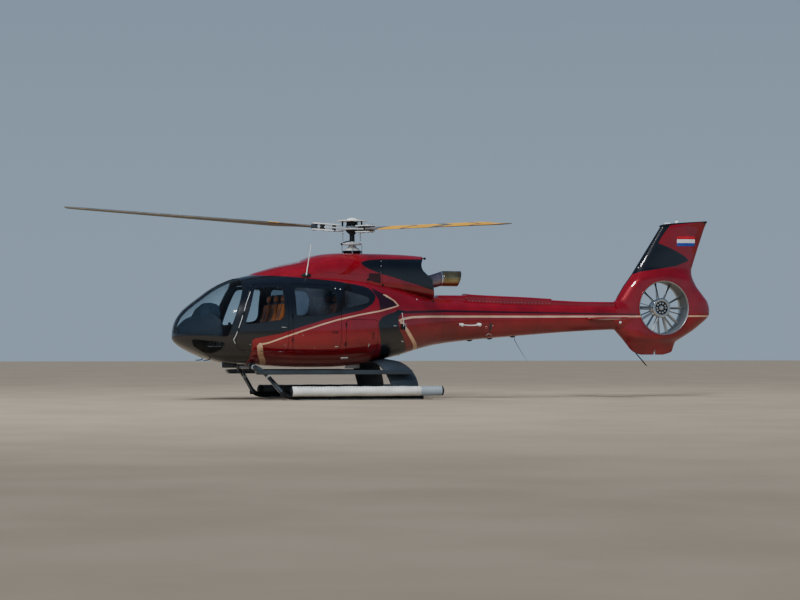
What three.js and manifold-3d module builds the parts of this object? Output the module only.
// A light single-engine helicopter with a shrouded tail fan, parked on its skids.
// Millimetres. X runs aft from the nose, +Y is the right-hand side, +Z is up.
// Heights are written above the ground, and the last lines move the origin to the hook plate under the belly.
import * as THREE from "three";
import { mergeVertices } from "three/addons/utils/BufferGeometryUtils.js";
import Module from "manifold-3d";

const wasm = await Module();
wasm.setup();

// Driving sizes
const GAP = 0.3; // between pieces that touch
const PANEL_GAP = 6; // round a door
const CABIN_WALL = 45;
const BOOM_WALL = 22;
const COWL_WALL = 28;
const GLASS_DEPTH = [6, 16]; // below the skin, outer and inner face
const HOOK_PLATE_Z = 555;
const ROTOR_RADIUS = 5345;
const HUB_Z = 3134;
const BLADE_CHORD = 350;
const CONING = 2.3; // degrees, all blades
const DISC_TILT = 4.2; // degrees, down towards the blade at LOW_BLADE
const LOW_BLADE = -78;
const BLADE_AZIMUTHS = { blade_1: 162, blade_2: 282, blade_3: 42 };
const FAN = { x: 6232, z: 1713, duct: 500, hub: 190, tip: 490 };
const SKID = { y: 1120, z: 53, radius: 45 };
const FLOAT = { y: 1209.2, z: 155, radius: 90, front: -1490, rear: 1372 };
const FLOOR_Z = 860; // cabin floor
const DOOR_TOP_Z = 2085;

// Fuselage sections from the nose to the fin.
// Columns: x, bottom, waist, top, half width, fullness below the waist, fullness above it
const FUSELAGE = [
  [-3385, 1105, 1150, 1195, 30, 2, 2],
  [-3368, 1060, 1145, 1310, 125, 2, 2],
  [-3291, 985, 1145, 1490, 275, 2, 2],
  [-3226, 940, 1150, 1569, 365, 2.05, 2],
  [-3079, 860, 1160, 1700, 515, 2.15, 2.05],
  [-2890, 776, 1180, 1840, 655, 2.3, 2.1],
  [-2719, 716, 1200, 1967, 752, 2.4, 2.15],
  [-2464, 655, 1220, 2108, 862, 2.5, 2.25],
  [-2207, 636, 1236, 2201, 935, 2.6, 2.3],
  [-1907, 622, 1250, 2266, 985, 2.7, 2.35],
  [-1431, 590, 1262, 2330, 1012, 2.8, 2.4],
  [-1039, 576, 1270, 2356, 1015, 2.8, 2.4],
  [-602, 576, 1280, 2360, 1010, 2.8, 2.4],
  [-60, 606, 1300, 2325, 962, 2.7, 2.4],
  [384, 690, 1320, 2250, 872, 2.6, 2.35],
  [835, 790, 1360, 2130, 735, 2.5, 2.3],
  [1263, 915, 1405, 1995, 585, 2.4, 2.25],
  [1645, 1002, 1440, 1885, 455, 2.3, 2.2],
  [2244, 1075, 1462, 1835, 340, 2.2, 2.2],
  [3170, 1154, 1480, 1800, 268, 2.2, 2.2],
  [4615, 1261, 1520, 1775, 198, 2.2, 2.2],
  [5262, 1290, 1530, 1768, 176, 2.2, 2.2],
];
const SPLIT_NOSE = -2480;
const SPLIT_REAR = -450;
const SPLIT_BOOM = 1645;
const BOOM_END = 5262;

// Cowl over the rotor gearbox and the engine, with the same columns
const COWL = [
  [-1960, 2020, 2060, 2250, 300, 2, 2.2],
  [-1778, 2000, 2080, 2331, 430, 2, 2.3],
  [-1431, 1980, 2100, 2429, 540, 2, 2.5],
  [-1039, 1960, 2120, 2518, 610, 2, 2.8],
  [-822, 1950, 2130, 2612, 630, 2, 3],
  [-602, 1940, 2130, 2658, 640, 2, 3.2],
  [-251, 1930, 2130, 2680, 640, 2, 3.3],
  [149, 1920, 2120, 2678, 620, 2, 3.4],
  [551, 1890, 2100, 2675, 570, 2, 3.5],
  [954, 1850, 2070, 2664, 510, 2, 3.5],
  [1362, 1800, 2040, 2636, 450, 2, 3.5],
  [1700, 1760, 2000, 2600, 410, 2, 3.5],
];
const COWL_SPLIT = 406;
// Side outline of the cowl's rear face, from the top edge down
const COWL_REAR = [
  [1362, 2760], [1340, 2520], [1407, 2412], [1522, 2284], [1589, 2048], [1640, 1950], [1640, 1700],
];

// Side outlines, as [x, z]
const FRONT_DOOR = [
  [-2425, 1080], [-2340, 880], [-1480, 866], [-1480, DOOR_TOP_Z], [-2097, DOOR_TOP_Z - 15],
];
const FRONT_WINDOW = [
  [-2262, 1345], [-1600, 1430], [-1540, 1520], [-1540, 2025], [-2042, 2010],
];
const REAR_DOOR = [
  [-1395, 866], [-560, 866], [-500, 1000], [-500, 1900], [-620, 2062], [-1395, DOOR_TOP_Z],
];
const REAR_WINDOW = [
  [-1335, 1480], [-620, 1560], [-565, 1640], [-565, 1880], [-660, 2000], [-1335, 2025],
];
const QUARTER_WINDOW = [
  [-400, 1640], [40, 1745], [90, 1810], [40, 1870], [-400, 1985],
];
const WINDSCREEN = [
  [-3700, 1215], [-2545, 1130], [-2205, 2040], [-2240, 2400], [-3700, 2400],
];
const CHIN_WINDOW = [
  [-3130, 1090], [-3080, 960], [-2900, 850], [-2740, 835], [-2600, 930], [-2590, 1030],
];
const BAGGAGE_DOOR = [
  [-400, 830], [220, 860], [220, 1440], [-400, 1440],
];
const CENTRE_POST = 75; // half width of the post between the windscreen panes
const CHIN_POST = 130;

// Hinge lines of the left-hand doors, from the lower hinge to the upper one, proud of the skin
const HINGES = {
  front: { low: [-2378, -903, 1250], high: [-2279, -896, 1550] },
  rear: { low: [-1404, -1018, 1080], high: [-1404, -1018, 1500] },
  baggage: { low: [-409, -985, 1000], high: [-409, -1010, 1350] },
};
const BARREL = { radius: 9, length: 34 };
const LEAF = { radius: 5, reach: 32, depth: 30 }; // reach fore or aft, depth into the wall

// Tail fin and duct housing from the bumper up. Columns: z, leading x, trailing x, half thickness
const FIN = [
  [806, 5830, 6300, 28],
  [845, 5690, 6490, 34],
  [914, 5605, 6508, 50],
  [1055, 5492, 6555, 130],
  [1150, 5410, 6720, 262],
  [1274, 5290, 6932, 264],
  [1482, 5262, 7206, 264],
  [1579, 5262, 7293, 264],
  [1721, 5262, 7293, 264],
  [1848, 5298, 7252, 264],
  [2122, 5470, 7023, 264],
  [2260, 5575, 6945, 262],
  [2367, 5655, 6913, 190],
  [2475, 5726, 6913, 140],
  [2900, 6006, 7060, 96],
  [3304, 6272, 7205, 74],
  [3365, 6399, 7225, 70],
  [3409, 6800, 7255, 60],
];
const DUCT_FACE = 215; // half width of the housing where the duct's mouths are

// Paint and finishes
const finish = (color, roughness, metalness) => ({ color, roughness, metalness });
const RED = finish(0x6e1219, 0.28, 0.35);
const BLACK = finish(0x0d0f16, 0.2, 0.2);
const GLASS = finish(0x2a3138, 0.08, 0);
const STEEL = finish(0x8d8577, 0.35, 0.9);
const LIGHT_METAL = finish(0xc9cdce, 0.4, 0.7);
const DARK_METAL = finish(0x33383c, 0.5, 0.6);
const GEAR_GREY = finish(0x47545f, 0.5, 0.3);
const WHITE = finish(0xd9ddda, 0.5, 0);
const BLADE_GREY = finish(0x6b625a, 0.6, 0);
const SEAT_TAN = finish(0xa2632c, 0.8, 0);
const TRIM_GREY = finish(0x2b2d31, 0.8, 0);

const helicopter = new THREE.Group();

// A closed geometry as a solid with its faces out, and back

function solid(geometry) {
  const bare = new THREE.BufferGeometry();
  bare.setAttribute("position", geometry.getAttribute("position"));
  if (geometry.index) bare.setIndex(geometry.index);
  const merged = mergeVertices(bare, 1e-3);
  const vertProperties = Float32Array.from(merged.attributes.position.array);
  const triVerts = Uint32Array.from(merged.index.array);
  const made = new wasm.Manifold(new wasm.Mesh({ numProp: 3, vertProperties, triVerts }));
  if (made.volume() > 0) return made;
  for (let i = 0; i < triVerts.length; i += 3) {
    [triVerts[i + 1], triVerts[i + 2]] = [triVerts[i + 2], triVerts[i + 1]];
  }
  return new wasm.Manifold(new wasm.Mesh({ numProp: 3, vertProperties, triVerts }));
}

function geometryOf(shape) {
  const { vertProperties, triVerts } = shape.getMesh();
  return new THREE.BufferGeometry()
    .setAttribute("position", new THREE.BufferAttribute(vertProperties, 3))
    .setIndex(new THREE.BufferAttribute(triVerts, 1));
}

function add(name, shape, look) {
  const geometry = geometryOf(shape);
  geometry.computeVertexNormals();
  const mesh = new THREE.Mesh(geometry, new THREE.MeshStandardMaterial(look));
  mesh.name = name;
  helicopter.add(mesh);
}

const join = (shapes) => shapes.reduce((all, next) => all.add(next));
const mirrored = (shape) => shape.mirror([0, 1, 0]);
const largest = (shape) => shape.decompose().sort((a, b) => b.volume() - a.volume())[0];

// A left-hand piece and its twin on the right
function addPair(name, shape, look) {
  add(name + "_left", shape, look);
  add(name + "_right", mirrored(shape), look);
}

// One piece with the same parts on its left and right
function addBothSides(name, shape, leftPart, look) {
  add(name, join([shape, leftPart, mirrored(leftPart)]), look);
}

// Simple solids

function box([x0, x1], [y0, y1], [z0, z1]) {
  const geometry = new THREE.BoxGeometry(x1 - x0, y1 - y0, z1 - z0);
  geometry.translate((x0 + x1) / 2, (y0 + y1) / 2, (z0 + z1) / 2);
  return solid(geometry);
}

// A rod, or a cone where the second radius differs
function rod(from, to, radius, sides = 16, endRadius = radius) {
  const start = new THREE.Vector3(...from);
  const along = new THREE.Vector3(...to).sub(start);
  const geometry = new THREE.CylinderGeometry(endRadius, radius, along.length(), sides);
  geometry.translate(0, along.length() / 2, 0);
  const turn = new THREE.Quaternion();
  turn.setFromUnitVectors(new THREE.Vector3(0, 1, 0), along.clone().normalize());
  geometry.applyQuaternion(turn);
  geometry.translate(...from);
  return solid(geometry);
}

const shapeOf = (outline) => new THREE.Shape(outline.map(([a, b]) => new THREE.Vector2(a, b)));

// A side outline [x, z] drawn out from y0 to y1
function slab(outline, y0, y1) {
  const geometry = new THREE.ExtrudeGeometry(shapeOf(outline), {
    depth: y1 - y0,
    bevelEnabled: false,
  });
  geometry.rotateX(Math.PI / 2);
  geometry.translate(0, y1, 0);
  return solid(geometry);
}

// A closed profile [radius, height] turned about the Z axis
function turned(profile, sides = 24) {
  const points = profile.map(([r, z]) => new THREE.Vector2(r, z));
  const geometry = new THREE.LatheGeometry([...points, points[0]], sides);
  geometry.rotateX(Math.PI / 2);
  return solid(geometry);
}

// Outlines

// The corners of a closed outline, listed anticlockwise, moved outwards by a distance
function grown(outline, distance) {
  const count = outline.length;
  return outline.map((point, i) => {
    const before = outline[(i + count - 1) % count];
    const after = outline[(i + 1) % count];
    const edgeIn = new THREE.Vector2(point[0] - before[0], point[1] - before[1]).normalize();
    const edgeOut = new THREE.Vector2(after[0] - point[0], after[1] - point[1]).normalize();
    const normal = new THREE.Vector2(edgeIn.y + edgeOut.y, -edgeIn.x - edgeOut.x).normalize();
    const reach = distance / (normal.x * edgeIn.y - normal.y * edgeIn.x);
    return [point[0] + normal.x * reach, point[1] + normal.y * reach];
  });
}

// The same outline with each corner rounded
function rounded(outline, radius, steps = 3) {
  const count = outline.length;
  return outline.flatMap((point, i) => {
    const corner = new THREE.Vector2(...point);
    const toward = [outline[(i + count - 1) % count], outline[(i + 1) % count]].map((other) => {
      const edge = new THREE.Vector2(...other).sub(corner);
      const reach = Math.min(radius, edge.length() / 2.1);
      return corner.clone().add(edge.setLength(reach));
    });
    const bend = new THREE.QuadraticBezierCurve(toward[0], corner, toward[1]);
    return bend.getPoints(steps).map((p) => [p.x, p.y]);
  });
}

// Lofts

// One column of a table at x, smooth between its rows and without overshoot
function columnAt(table, column, x) {
  const last = table.length - 1;
  if (x <= table[0][0]) return table[0][column];
  if (x >= table[last][0]) return table[last][column];
  const i = table.findIndex((row, k) => k < last && x <= table[k + 1][0]);
  const slope = (k) => (table[k + 1][column] - table[k][column]) / (table[k + 1][0] - table[k][0]);
  const tangent = (k) => {
    if (k === 0) return slope(0);
    if (k === last) return slope(last - 1);
    const [a, b] = [slope(k - 1), slope(k)];
    return a * b <= 0 ? 0 : (2 * a * b) / (a + b);
  };
  const width = table[i + 1][0] - table[i][0];
  const t = (x - table[i][0]) / width;
  const [p, q] = [table[i][column], table[i + 1][column]];
  const [m, n] = [tangent(i) * width, tangent(i + 1) * width];
  return (2 * t ** 3 - 3 * t ** 2 + 1) * p + (t ** 3 - 2 * t ** 2 + t) * m
    + (3 * t ** 2 - 2 * t ** 3) * q + (t ** 3 - t ** 2) * n;
}

const bulge = (value, fullness) => Math.sign(value) * Math.abs(value) ** (2 / fullness);

// A point of a body section: x along the body, angle round it from the +Y side upwards
function skinPoint(table, x, angle) {
  const [bottom, waist, top, half, below, above] = [1, 2, 3, 4, 5, 6].map((c) => columnAt(table, c, x));
  const [c, s] = [Math.cos(angle), Math.sin(angle)];
  const fullness = s < 0 ? below : above;
  const height = s < 0 ? waist - bottom : top - waist;
  return new THREE.Vector3(x, half * bulge(c, fullness), waist + height * bulge(s, fullness));
}

function skinNormal(table, x, angle) {
  const [dx, da] = [2, 0.02];
  const alongX = skinPoint(table, x + dx, angle).sub(skinPoint(table, x - dx, angle));
  const around = skinPoint(table, x, angle + da).sub(skinPoint(table, x, angle - da));
  return around.cross(alongX).normalize();
}

// Rings of points joined into one closed body
function loft(rings) {
  const count = rings[0].length;
  const positions = rings.flat().flatMap((p) => [p.x, p.y, p.z]);
  const index = [];
  for (let r = 0; r + 1 < rings.length; r++) {
    for (let k = 0; k < count; k++) {
      const next = (k + 1) % count;
      const [a, b] = [r * count + k, r * count + next];
      const [c, d] = [a + count, b + count];
      index.push(a, c, b, b, c, d);
    }
  }
  for (const [ring, turn] of [[0, 1], [rings.length - 1, -1]]) {
    const middle = rings[ring].reduce((sum, p) => sum.add(p), new THREE.Vector3()).divideScalar(count);
    const hub = positions.length / 3;
    positions.push(middle.x, middle.y, middle.z);
    for (let k = 0; k < count; k++) {
      const [a, b] = [ring * count + k, ring * count + ((k + 1) % count)];
      index.push(...(turn > 0 ? [hub, a, b] : [hub, b, a]));
    }
  }
  const geometry = new THREE.BufferGeometry();
  geometry.setAttribute("position", new THREE.Float32BufferAttribute(positions, 3));
  geometry.setIndex(index);
  return solid(geometry);
}

// A round pipe with a ring of points at each point of its path
function pipe(points, radius, sides = 12) {
  const path = points.map((p) => new THREE.Vector3(...p));
  let side = new THREE.Vector3(0, 0, 1);
  const rings = path.map((point, i) => {
    const before = path[Math.max(0, i - 1)];
    const after = path[Math.min(path.length - 1, i + 1)];
    const run = after.clone().sub(before).normalize();
    side = side.addScaledVector(run, -side.dot(run)).normalize();
    const other = run.clone().cross(side);
    return Array.from({ length: sides }, (_, k) => {
      const angle = ((k + 0.5) / sides) * Math.PI * 2;
      return point.clone()
        .addScaledVector(side, radius * Math.cos(angle))
        .addScaledVector(other, radius * Math.sin(angle));
    });
  });
  return loft(rings);
}

// The points of a curve drawn smoothly through a few places
const smoothPath = (points, count) =>
  new THREE.CatmullRomCurve3(points.map((p) => new THREE.Vector3(...p))).getSpacedPoints(count).map((p) => p.toArray());

// A body from its table, with its skin moved in by depth(x)
function bodyLoft(table, from, to, depth, sides = 28, spacing = 450) {
  const rows = table.map((row) => row[0]).filter((x) => x > from && x < to);
  const stops = [from, ...rows, to];
  const xs = stops.flatMap((x, i) => {
    if (i + 1 === stops.length) return [x];
    const parts = x < SPLIT_BOOM ? Math.max(1, Math.round((stops[i + 1] - x) / spacing)) : 1;
    return Array.from({ length: parts }, (_, k) => x + ((stops[i + 1] - x) * k) / parts);
  });
  const rings = xs.map((x) =>
    Array.from({ length: sides }, (_, k) => {
      const angle = (k / sides) * Math.PI * 2;
      return skinPoint(table, x, angle).addScaledVector(skinNormal(table, x, angle), -depth(x));
    }),
  );
  return loft(rings);
}

const FAR = 9000;
const everything = { x: [-FAR, FAR], y: [-FAR, FAR], z: [-FAR, FAR] };
// The part of a shape inside a range of x, y and z
const within = (shape, range) => {
  const { x, y, z } = { ...everything, ...range };
  return shape.intersect(box(x, y, z));
};

// Door hinges

// A left-hand shape turned about a hinge line; a negative angle opens a door
function swung(shape, { low, high }, angle) {
  const start = new THREE.Vector3(...low);
  const axis = new THREE.Vector3(...high).sub(start).normalize();
  const turn = new THREE.Matrix4().makeTranslation(start);
  turn.multiply(new THREE.Matrix4().makeRotationAxis(axis, THREE.MathUtils.degToRad(angle)));
  turn.multiply(new THREE.Matrix4().makeTranslation(start.negate()));
  return shape.transform(turn.elements);
}

// At both ends of a hinge line, a barrel on the frame and the door's barrel standing on it
function hingeHalves({ low, high }) {
  const axis = new THREE.Vector3(...high).sub(new THREE.Vector3(...low)).normalize();
  const half = (end, from, to, side) => {
    const at = (distance) => new THREE.Vector3(...end).addScaledVector(axis, distance).toArray();
    const [x, y, z] = at((from + to) / 2);
    const root = [x + side * LEAF.reach, y + LEAF.depth, z];
    return rod(at(from), at(to), BARREL.radius, 8).add(rod([x, y, z], root, LEAF.radius, 6));
  };
  return {
    frame: join([low, high].map((end) => half(end, -BARREL.length, 0, -1))),
    door: join([low, high].map((end) => half(end, GAP, GAP + BARREL.length, 1))),
  };
}

// Cabin and body

const [NOSE_X, INNER_NOSE_X] = [FUSELAGE[0][0], FUSELAGE[1][0]];
const bodyWall = (x) => (x < 800 ? CABIN_WALL : THREE.MathUtils.mapLinear(
  Math.min(x, SPLIT_BOOM), 800, SPLIT_BOOM, CABIN_WALL, BOOM_WALL));
const bodyOuter = bodyLoft(FUSELAGE, NOSE_X, BOOM_END, () => 0);
const bodyInner = bodyLoft(FUSELAGE, INNER_NOSE_X, BOOM_END + 200, bodyWall);
const bodyCleared = bodyLoft(FUSELAGE, NOSE_X, BOOM_END + 50, () => -GAP);
const shell = bodyOuter.subtract(bodyInner);
const glassShell = bodyLoft(FUSELAGE, INNER_NOSE_X, SPLIT_BOOM, () => GLASS_DEPTH[0])
  .subtract(bodyLoft(FUSELAGE, INNER_NOSE_X, SPLIT_BOOM, () => GLASS_DEPTH[1]));

// A cut through the left wall in the form of a side outline
const LEFT_WALL = [-1300, -160];
const leftCut = (outline, growth, radius, range = LEFT_WALL) =>
  slab(rounded(grown(outline, growth), radius), ...range);
const bothSides = (cut) => cut.add(mirrored(cut));

const DOOR_CORNER = 110;
const WINDOW_CORNER = 80;
const frontDoorway = bothSides(leftCut(FRONT_DOOR, PANEL_GAP, DOOR_CORNER));
const rearDoorway = bothSides(leftCut(REAR_DOOR, PANEL_GAP, DOOR_CORNER));
const baggageDoorway = bothSides(leftCut(BAGGAGE_DOOR, PANEL_GAP, WINDOW_CORNER));
const paneOpening = (growth) => leftCut(WINDSCREEN, growth, 60, [-1300, -CENTRE_POST + growth]);
const chinOpening = (growth) => leftCut(CHIN_WINDOW, growth, 60, [-1300, -CHIN_POST + growth]);
const quarterOpening = (growth) => leftCut(QUARTER_WINDOW, growth, 60);
const openings = join([
  frontDoorway,
  rearDoorway,
  baggageDoorway,
  bothSides(paneOpening(0)),
  bothSides(chinOpening(0)),
  bothSides(quarterOpening(0)),
]);
const frame = shell.subtract(openings);

// Where the frame is split: the nose ends inside the front doorways
const NOSE_REGION = [
  [-3700, 300], [SPLIT_NOSE, 300], [SPLIT_NOSE, FLOOR_Z], [-2300, FLOOR_Z], [-2000, 2000],
  [-2000, 2600], [-3700, 2600],
];
const noseRegion = slab(NOSE_REGION, -1300, 1300);
const noseCleared = slab(grown(NOSE_REGION, GAP), -1300, 1300);
const noseFrame = largest(frame.intersect(noseRegion));
addBothSides("nose_frame", noseFrame, hingeHalves(HINGES.front).frame, BLACK);

const middle = frame.subtract(noseCleared);
const cabinX = [SPLIT_NOSE, SPLIT_REAR];
const pillarX = [FRONT_DOOR[2][0], REAR_DOOR[0][0]];
add("cabin_roof", largest(within(middle, { x: cabinX, z: [DOOR_TOP_Z - 60, FAR] })), RED);

const pillar = within(middle, { x: pillarX, y: [-FAR, 0], z: [FLOOR_Z + GAP, DOOR_TOP_Z - 60 - GAP] });
addPair("door_pillar", largest(pillar).add(hingeHalves(HINGES.rear).frame), BLACK);

// The floor is a deep keel box, with a narrow tongue forward under the instrument pedestal
const TONGUE_X = [-2830, SPLIT_NOSE + 1];
const keel = within(bodyOuter, { x: cabinX, z: [0, FLOOR_Z] }).subtract(noseCleared);
const tongue = box(TONGUE_X, [-CHIN_POST, CHIN_POST], [FLOOR_Z - 30, FLOOR_Z]);
add("cabin_floor", keel.subtract(openings).add(tongue), RED);

const BULKHEAD_X = [-470, -430];
const bulkheadRoom = bodyLoft(FUSELAGE, -800, 400, (x) => bodyWall(x) + 2 * GAP);
add("cabin_bulkhead", within(bulkheadRoom, { x: BULKHEAD_X, z: [FLOOR_Z + GAP, FAR] }), TRIM_GREY);

const rearBody = within(frame, { x: [SPLIT_REAR + GAP, SPLIT_BOOM] });
const hookPlate = box([-110, 110], [-110, 110], [HOOK_PLATE_Z, 640]);
const rearShell = largest(rearBody).add(hookPlate.subtract(bodyInner));
addBothSides("rear_body", rearShell, hingeHalves(HINGES.baggage).frame, RED);

// Doors and glass
const glassIn = (cut) => largest(glassShell.intersect(cut));
const SWING_STEPS = [1.5, 3, 4.5, 6.5]; // degrees
const SWING_GAP = 5; // left round a door while it turns

// A door, its edge cut back where it would catch the doorway's edge as it turns out
function doorPanel(outline, corner, hinge) {
  const jamb = leftCut(outline, 60, corner).subtract(leftCut(outline, PANEL_GAP - SWING_GAP, corner));
  const edge = shell.intersect(jamb);
  const panel = largest(shell.intersect(leftCut(outline, 0, corner)));
  return largest(panel.subtract(join(SWING_STEPS.map((angle) => swung(edge, hinge, angle)))))
    .add(hingeHalves(hinge).door);
}
const frontDoor = doorPanel(FRONT_DOOR, DOOR_CORNER, HINGES.front);
const rearDoor = doorPanel(REAR_DOOR, DOOR_CORNER, HINGES.rear);
addPair("front_door", frontDoor.subtract(leftCut(FRONT_WINDOW, 0, WINDOW_CORNER)), BLACK);
addPair("rear_door", rearDoor.subtract(leftCut(REAR_WINDOW, 0, WINDOW_CORNER)), RED);
addPair("baggage_door", doorPanel(BAGGAGE_DOOR, WINDOW_CORNER, HINGES.baggage), RED);
addPair("front_door_glass", glassIn(leftCut(FRONT_WINDOW, -GAP, WINDOW_CORNER)), GLASS);
addPair("rear_door_glass", glassIn(leftCut(REAR_WINDOW, -GAP, WINDOW_CORNER)), GLASS);
addPair("quarter_glass", glassIn(quarterOpening(-GAP)), GLASS);
addPair("windscreen", glassIn(paneOpening(-GAP)), GLASS);
addPair("chin_glass", glassIn(chinOpening(-GAP)), GLASS);

// Inside the cabin

// One seat facing forward, its cushion front at x and its middle at y
function seat(x, y, width) {
  const [y0, y1] = [y - width / 2, y + width / 2];
  const back = [
    [x + 440, 1180], [x + 540, 1180], [x + 640, 1760], [x + 560, 1760],
  ];
  return join([
    box([x, x + 500], [y0, y1], [1120, 1240]),
    slab(back, y0, y1),
    slab([[x + 570, 1750], [x + 640, 1750], [x + 650, 1900], [x + 590, 1900]], y - 120, y + 120),
  ]);
}

function seatRow(x, places, width) {
  const reach = places.at(-1) + width / 2 - 30;
  const base = box([x + 90, x + 430], [-reach, reach], [FLOOR_Z + GAP, 1130]);
  return join([base, ...places.map((y) => seat(x, y, width))]);
}
add("front_seats", seatRow(-2060, [-520, 0, 520], 470), SEAT_TAN);
add("rear_seats", seatRow(-1130, [-645, -215, 215, 645], 400), SEAT_TAN);

const pedestal = slab([[-2840, 861], [-2500, 861], [-2560, 1180], [-2760, 1200]], -110, 110);
const glareShield = slab([[-2900, 1200], [-2640, 1160], [-2590, 1400], [-2680, 1440], [-2880, 1330]], -380, 380);
add("instrument_panel", pedestal.translate([0, 0, GAP - 1]).add(glareShield), TRIM_GREY);

// Cowls, engine and exhaust

const cowlEnd = slab([...COWL_REAR, [-2500, 1700], [-2500, 2760]].reverse(), -900, 900);
const cowlRoomEnd = cowlEnd.translate([-40, 0, 0]);
const cowlOuter = bodyLoft(COWL, COWL[0][0], COWL.at(-1)[0], () => 0, 24).intersect(cowlEnd);
const cowlRoom = bodyLoft(COWL, COWL[0][0] + 60, COWL.at(-1)[0], () => COWL_WALL, 24).intersect(cowlRoomEnd);
const MAST_HOLE = 195;
const EXHAUST = { start: 1250, bend: 1560, straight: 1745, end: 2120, low: 2170, z: 2235 };
const EXHAUST_RADIUS = { first: 112, last: 135, wall: 6 };
const exhaustHole = rod([1200, 0, EXHAUST.low - 20], [1760, 0, EXHAUST.low + 65], 160, 24);
const cowl = cowlOuter
  .subtract(cowlRoom)
  .subtract(bodyCleared)
  .subtract(rod([0, 0, 2300], [0, 0, 2800], MAST_HOLE, 24))
  .subtract(exhaustHole);
add("mast_cowl", largest(within(cowl, { x: [-FAR, COWL_SPLIT - GAP] })), RED);
add("engine_cowl", largest(within(cowl, { x: [COWL_SPLIT, FAR] })), RED);

const ENGINE_X = [470, 1280];
add("engine", box(ENGINE_X, [-270, 270], [1850, 2520]).subtract(bodyCleared), DARK_METAL);

const exhaustPath = smoothPath([
  [EXHAUST.start, 0, EXHAUST.low],
  [EXHAUST.bend, 0, EXHAUST.low + 10],
  [EXHAUST.straight, 0, EXHAUST.z],
  [EXHAUST.straight + 60, 0, EXHAUST.z],
], 6);
const tailPipe = (radius) =>
  rod([EXHAUST.straight, 0, EXHAUST.z], [EXHAUST.end + 100, 0, EXHAUST.z], radius, 20);
const pipeEnd = slab(
  [[1000, 1900], [EXHAUST.end - 75, 2060], [EXHAUST.end, 2400], [1000, 2500]], -300, 300);
const exhaustOuter = pipe(exhaustPath, EXHAUST_RADIUS.first, 20).add(tailPipe(EXHAUST_RADIUS.last));
const exhaustBore = pipe(exhaustPath, EXHAUST_RADIUS.first - EXHAUST_RADIUS.wall, 20)
  .add(tailPipe(EXHAUST_RADIUS.last - EXHAUST_RADIUS.wall))
  .subtract(box([1200, ENGINE_X[1] + 40], [-300, 300], [1900, 2500]));
const exhaustPipe = within(exhaustOuter.subtract(exhaustBore), { x: [ENGINE_X[1] + GAP, FAR] });
add("exhaust_pipe", largest(exhaustPipe.intersect(pipeEnd)), STEEL);

// Tail boom with the drive shaft's spine on top

// Columns: x, bottom, waist, top, half width, fullness below and above
const SPINE = [
  [1600, 1640, 1780, 1921, 130, 5, 5],
  [2190, 1640, 1780, 1924, 130, 5, 5],
  [3940, 1640, 1750, 1849, 112, 5, 5],
  [4615, 1640, 1740, 1825, 104, 5, 5],
  [5262, 1640, 1740, 1822, 98, 5, 5],
];
const SHAFT_COVER = [
  [2206, 1700, 1820, 1956, 152, 6, 6],
  [3332, 1700, 1810, 1903, 140, 6, 6],
  [3926, 1700, 1800, 1874, 134, 6, 6],
];
const spine = bodyLoft(SPINE, SPINE[0][0], BOOM_END, () => 0, 16);
const spineCleared = bodyLoft(SPINE, SPINE[0][0], BOOM_END, () => -GAP, 16);
const spineRoom = bodyLoft(SPINE, SPINE[0][0], BOOM_END + 100, () => BOOM_WALL, 16);
const boomSpine = within(spine.subtract(bodyInner).subtract(spineRoom), { x: [SPLIT_BOOM + GAP, FAR] });
const boom = within(shell, { x: [SPLIT_BOOM + GAP, FAR] }).add(boomSpine);
add("tail_boom", boom, RED);
const shaftCover = bodyLoft(SHAFT_COVER, SHAFT_COVER[0][0], SHAFT_COVER.at(-1)[0], () => 0, 16);
add("shaft_cover", largest(shaftCover.subtract(spineCleared).subtract(bodyCleared)), RED);

// Tail fin with the duct housing

function finRing([z, lead, trail, half]) {
  const sides = 20;
  const [centre, reach] = [(lead + trail) / 2, (trail - lead) / 2];
  return Array.from({ length: sides }, (_, k) => {
    const angle = (k / sides) * Math.PI * 2;
    return new THREE.Vector3(centre + reach * Math.cos(angle), half * Math.sin(angle), z);
  });
}
// Columns: x, bottom, waist, top, half width, fullness below and above
const FIN_ROOT = [
  [BOOM_END + GAP, 1290, 1530, 1822, 176, 2.2, 2.6],
  [5500, 1230, 1530, 1900, 185, 2.2, 2.4],
  [5800, 1180, 1550, 2000, 200, 2.2, 2.2],
];
const finLevels = FIN.flatMap((row, i) => {
  if (i + 1 === FIN.length) return [row];
  const parts = Math.max(1, Math.round((FIN[i + 1][0] - row[0]) / 420));
  return Array.from({ length: parts }, (_, k) => {
    const z = row[0] + ((FIN[i + 1][0] - row[0]) * k) / parts;
    return [z, columnAt(FIN, 1, z), columnAt(FIN, 2, z), columnAt(FIN, 3, z)];
  });
});
const finBlade = loft(finLevels.map(finRing));
const finRoot = bodyLoft(FIN_ROOT, FIN_ROOT[0][0], FIN_ROOT.at(-1)[0], () => 0, 20);
const FIN_WALL = 22;
const finRoom = loft(
  finLevels
    .filter(([z]) => z > 1000)
    .map(([z, lead, trail, half]) => [
      z + (z < FAN.z ? FIN_WALL : -FIN_WALL), lead + 2 * FIN_WALL, trail - 2 * FIN_WALL, half - FIN_WALL,
    ])
    .map(finRing),
);
const finRootRoom = bodyLoft(FIN_ROOT, BOOM_END - 50, FIN_ROOT.at(-1)[0], () => FIN_WALL, 20);
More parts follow.
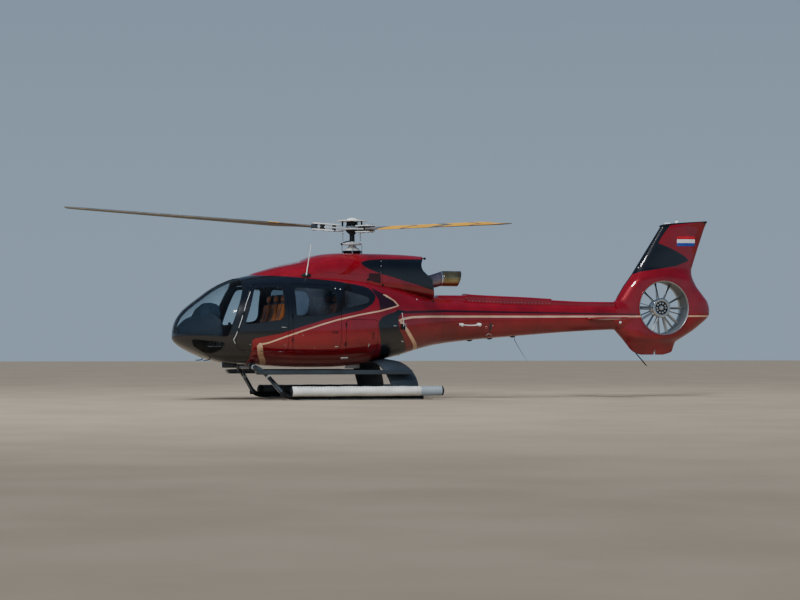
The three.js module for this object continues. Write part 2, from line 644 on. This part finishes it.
// A shape turned about Z becomes one turned about the fan's axis
const ontoFan = (shape) => shape.rotate([90, 0, 0]).translate([FAN.x, 0, FAN.z]);
const LINER = { outer: FAN.duct + 15, lip: FAN.duct + 42, proud: 5 };
const ductHole = ontoFan(rod([0, 0, -400], [0, 0, 400], LINER.outer + GAP, 32));
const ductWall = ontoFan(rod([0, 0, -400], [0, 0, 400], LINER.outer + FIN_WALL, 32));
const finInside = within(finRoom.add(finRootRoom), { y: [FIN_WALL - DUCT_FACE, DUCT_FACE - FIN_WALL] });
const fin = within(finBlade.add(finRoot), { x: [BOOM_END + GAP, FAR], y: [-DUCT_FACE, DUCT_FACE] })
  .subtract(finInside.subtract(ductWall))
  .subtract(ductHole);
add("tail_fin", largest(fin), RED);

const lipTop = DUCT_FACE + LINER.proud;
const liner = [
  [FAN.duct, -190], [FAN.duct + 8, -208], [LINER.lip - 14, -lipTop], [LINER.lip, -lipTop + 2],
  [LINER.lip, -DUCT_FACE - GAP], [LINER.outer, -DUCT_FACE - GAP],
  [LINER.outer, DUCT_FACE + GAP], [LINER.lip, DUCT_FACE + GAP],
  [LINER.lip, lipTop - 2], [LINER.lip - 14, lipTop], [FAN.duct + 8, 208], [FAN.duct, 190],
];
add("duct_liner", ontoFan(turned(liner, 32)), LIGHT_METAL);

// The fan's gearbox is on the right-hand side, held by fixed vanes, and its shaft reaches the hub
const FAN_HUB_FACE = 12;
const around = (count, make) => Array.from({ length: count }, (_, k) => make((k * 360) / count));
const vane = (angle) =>
  box([150, FAN.duct + 5], [-7, 7], [40, 150]).rotate([0, 0, angle]);
const driveArm = box([-FAN.duct - 5, -120], [-35, 35], [60, 130]);
const gearbox = [[0, GAP - FAN_HUB_FACE], [30, GAP - FAN_HUB_FACE], [30, 20], [150, 20], [165, 40], [165, 160], [120, 190], [0, 195]];
const statorRoom = rod([0, 0, -400], [0, 0, 400], FAN.duct - GAP, 32);
const stator = join([turned(gearbox, 28), driveArm, ...around(10, (angle) => vane(angle + 14))])
  .intersect(statorRoom);
add("fan_stator", ontoFan(stator.mirror([0, 0, 1])), LIGHT_METAL);

// Ten fan blades, unevenly spaced in two mirrored halves
const FAN_STEPS = [0, 29, 69, 105, 140];
const fanAngles = [...FAN_STEPS, ...FAN_STEPS.map((angle) => angle + 180)];
const fanBlade = (angle) =>
  box([FAN.hub - 20, FAN.tip], [-38, 38], [-5, 5])
    .rotate([32, 0, 0])
    .translate([0, 0, 65])
    .rotate([0, 0, angle]);
const FAN_HUB = [
  [0, FAN_HUB_FACE], [FAN.hub, FAN_HUB_FACE], [FAN.hub, 100], [FAN.hub - 18, 112], [FAN.hub - 40, 100],
  [90, 96], [70, 118], [0, 120],
];
const fanRotor = join([turned(FAN_HUB, 32), ...fanAngles.map(fanBlade)]);
add("fan_rotor", ontoFan(fanRotor), LIGHT_METAL);

// Stabilizer, one half each side of the boom

// Columns: y, leading x, trailing x, half thickness
const STABILIZER = [
  [60, 4610, 5175, 38],
  [1290, 4760, 5165, 26],
  [1365, 4800, 5140, 12],
];
const STABILIZER_Z = 1490;
const stabilizerRing = ([y, lead, trail, half]) =>
  Array.from({ length: 16 }, (_, k) => {
    const angle = (k / 16) * Math.PI * 2;
    const back = (1 + Math.cos(angle)) / 2;
    const thick = half * Math.sin(angle) * (1.25 - 0.75 * back);
    return new THREE.Vector3(lead + (trail - lead) * back, -y, STABILIZER_Z + thick);
  });
addPair("stabilizer", loft(STABILIZER.map(stabilizerRing)).subtract(bodyCleared), RED);

const tailSkid = rod([5730, 0, 840], [5962, 0, 585], 11, 10).subtract(finBlade.translate([0, 0, -GAP]));
add("tail_skid", largest(tailSkid), DARK_METAL);

// Landing gear

const TUBE_RADIUS = 38;
const LEG = [
  [-1560, -1112, 92], [-1640, -1080, 166], [-1724, -1000, 279], [-1900, -836, 500],
  [-1995, -730, 574], [-2020, -600, 586], [-2020, 0, 586],
];
const crossTube = bothSides(pipe(LEG, TUBE_RADIUS));
const crossTubeCleared = bothSides(pipe(LEG, TUBE_RADIUS + GAP));
const saddle = box([-2075, -1965], [-480, -400], [570, 800]).subtract(bodyCleared);

const skidPath = (radius) =>
  pipe([
    [-1640, -SKID.y + 8, 150], [-1560, -SKID.y, 92], [-1480, -SKID.y, 62], [-1400, -SKID.y, SKID.z],
    [1010, -SKID.y, SKID.z],
  ], radius);
const SHOE = { half: 28, top: 30 };
const shoe = box([-1330, 990], [-SKID.y - SHOE.half, -SKID.y + SHOE.half], [0, SHOE.top]);
const tailStrip = box([900, 1200], [-SKID.y - 20, -SKID.y + 20], [4, 10]);
const skid = join([skidPath(SKID.radius), shoe, tailStrip]);
const skidCleared = skidPath(SKID.radius + GAP);
const frontLegs = crossTube.subtract(skidCleared).subtract(mirrored(skidCleared)).add(saddle).add(mirrored(saddle));
add("front_cross_tube", largest(frontLegs), GEAR_GREY);
addPair("skid", skid, DARK_METAL);

// The rear cross tube's wide fairing. Columns: y, z, front x, rear x, half thickness
const REAR_ARCH = [
  [0, 690, 200, 660, 45],
  [450, 690, 200, 680, 45],
  [720, 655, 240, 745, 47],
  [920, 550, 300, 835, 50],
  [1012, 400, 370, 915, 50],
  [1050, 250, 425, 950, 46],
  [1078, 70, 460, 960, 34],
];
function archRing(row, i, rows) {
  const before = rows[Math.max(0, i - 1)];
  const after = rows[Math.min(rows.length - 1, i + 1)];
  const run = new THREE.Vector2(after[0] - before[0], after[1] - before[1]).normalize();
  const [y, z, front, rear, half] = row;
  const [centre, reach] = [(front + rear) / 2, (rear - front) / 2];
  return Array.from({ length: 20 }, (_, k) => {
    const angle = (k / 20) * Math.PI * 2;
    const out = half * Math.sin(angle);
    return new THREE.Vector3(centre + reach * Math.cos(angle), y - run.y * out, z + run.x * out);
  });
}
const archRows = [
  ...REAR_ARCH.slice(1).reverse().map(([y, ...rest]) => [-y, ...rest]),
  ...REAR_ARCH,
];
const arch = loft(archRows.map(archRing));
const archCleared = loft(
  archRows.map(([y, z, front, rear, half]) => [y, z, front - GAP, rear + GAP, half + GAP]).map(archRing),
);
const skidsCleared = skidCleared.add(mirrored(skidCleared));

// Emergency float cover along each skid, and the step board above it
const floatBody = rod(
  [FLOAT.front, -FLOAT.y, FLOAT.z], [FLOAT.rear, -FLOAT.y, FLOAT.z], FLOAT.radius, 24);
addPair("float_cover", floatBody.subtract(skidCleared), WHITE);
const floatCleared = rod(
  [FLOAT.front, -FLOAT.y, FLOAT.z], [FLOAT.rear, -FLOAT.y, FLOAT.z], FLOAT.radius + GAP, 24);
const rearTube = arch.subtract(bodyCleared).subtract(skidsCleared).subtract(bothSides(floatCleared));
add("rear_cross_tube", largest(rearTube), GEAR_GREY);

const STEP = { y: [-1215, -1025], z: [455, 535] };
const stepOutline = [[-2120, 525], [-2080, 455], [740, 455], [780, 535], [-2100, 535]];
const stepBracket = box([-1960, -1860], [-1030, -845], [470, 520]);
const step = slab(stepOutline, ...STEP.y).add(stepBracket);
addPair("step_board", largest(step.subtract(crossTubeCleared).subtract(archCleared)), GEAR_GREY);

// Rotor mast, head and blades

const MAST_RADIUS = 45;
const MAST_BORE = MAST_RADIUS + 0.8;
const mastBase = turned([
  [MAST_BORE, 2700], [MAST_BORE, 2822], [75, 2822], [80, 2795], [120, 2775], [150, 2735],
  [172, 2728], [172, 2700], [150, 2692], [150, 2200], [0, 2200], [0, 2700],
]);
add("mast_base", mastBase.subtract(bodyCleared), LIGHT_METAL);

const flapOf = (azimuth) =>
  CONING - DISC_TILT * Math.cos(THREE.MathUtils.degToRad(azimuth - LOW_BLADE));
// A piece drawn along +X from the hub's middle, raised by the blade's flap and turned to its place
const ontoHub = (shape, azimuth) =>
  shape.rotate([0, -flapOf(azimuth), 0]).rotate([0, 0, azimuth]).translate([0, 0, HUB_Z]);

const ARM = { reach: 640, sleeveStart: 300, sleeveEnd: 735 };
const arm = join([
  box([0, ARM.reach], [-45, 45], [-14, 14]),
  box([ARM.sleeveStart, ARM.sleeveEnd], [-62, 62], [62, 78]),
  box([ARM.sleeveStart, ARM.sleeveEnd], [-62, 62], [-78, -62]),
  box([480, ARM.reach], [-55, 55], [-63, 63]),
  box([ARM.sleeveStart, ARM.sleeveStart + 70], [-35, 35], [-63, 63]),
  box([150, 330], [60, 100], [-78, -50]),
  box([290, 330], [20, 100], [-78, -50]),
]);
const pitchLink = rod([170, 80, -290], [170, 80, -60], 11, 8);
const headCore = turned([
  [0, 2712], [MAST_RADIUS, 2712], [MAST_RADIUS, 2830], [150, 2836], [185, 2846], [185, 2866], [150, 2876],
  [62, 2880], [48, 2910], [48, 3040], [110, 3070], [150, 3100], [150, 3200], [110, 3225], [110, 3268],
  [278, 3272], [278, 3290], [110, 3300], [95, 3322], [50, 3340], [0, 3343],
]);
const headParts = Object.values(BLADE_AZIMUTHS).flatMap((azimuth) => [
  ontoHub(arm, azimuth),
  pitchLink.rotate([0, 0, azimuth]).translate([0, 0, HUB_Z]),
]);
add("rotor_head", join([headCore, ...headParts]), LIGHT_METAL);

// A rotor blade along +X. Columns: radius, chord, half thickness, pitch in degrees
const BLADE = [
  [ARM.reach + GAP, 110, 30, 9],
  [820, 130, 26, 9],
  [1150, 240, 22, 9.5],
  [1450, BLADE_CHORD, 20, 9],
  [2600, BLADE_CHORD, 19, 7],
  [3900, BLADE_CHORD, 18, 5],
  [5100, BLADE_CHORD, 17, 3.2],
  [ROTOR_RADIUS, BLADE_CHORD - 25, 9, 3],
];
const QUARTER = 0.28; // of the chord, ahead of the pitch axis
function bladeRing([radius, chord, half, pitch]) {
  const lean = THREE.MathUtils.degToRad(pitch);
  return Array.from({ length: 16 }, (_, k) => {
    const angle = (k / 16) * Math.PI * 2;
    const back = (1 - Math.cos(angle)) / 2;
    const across = (QUARTER - back) * chord;
    const thick = half * Math.sin(angle) * (1.3 - 0.8 * back);
    return new THREE.Vector3(
      radius,
      across * Math.cos(lean) - thick * Math.sin(lean),
      across * Math.sin(lean) + thick * Math.cos(lean),
    );
  });
}
const bladeRoot = box([ARM.reach + GAP, ARM.sleeveEnd + 30], [-50, 50], [-61.5, 61.5]);
const blade = loft(BLADE.map(bladeRing)).add(bladeRoot);
for (const [name, azimuth] of Object.entries(BLADE_AZIMUTHS)) add(name, ontoHub(blade, azimuth), BLADE_GREY);

helicopter.position.z = -HOOK_PLATE_Z;

export default helicopter;
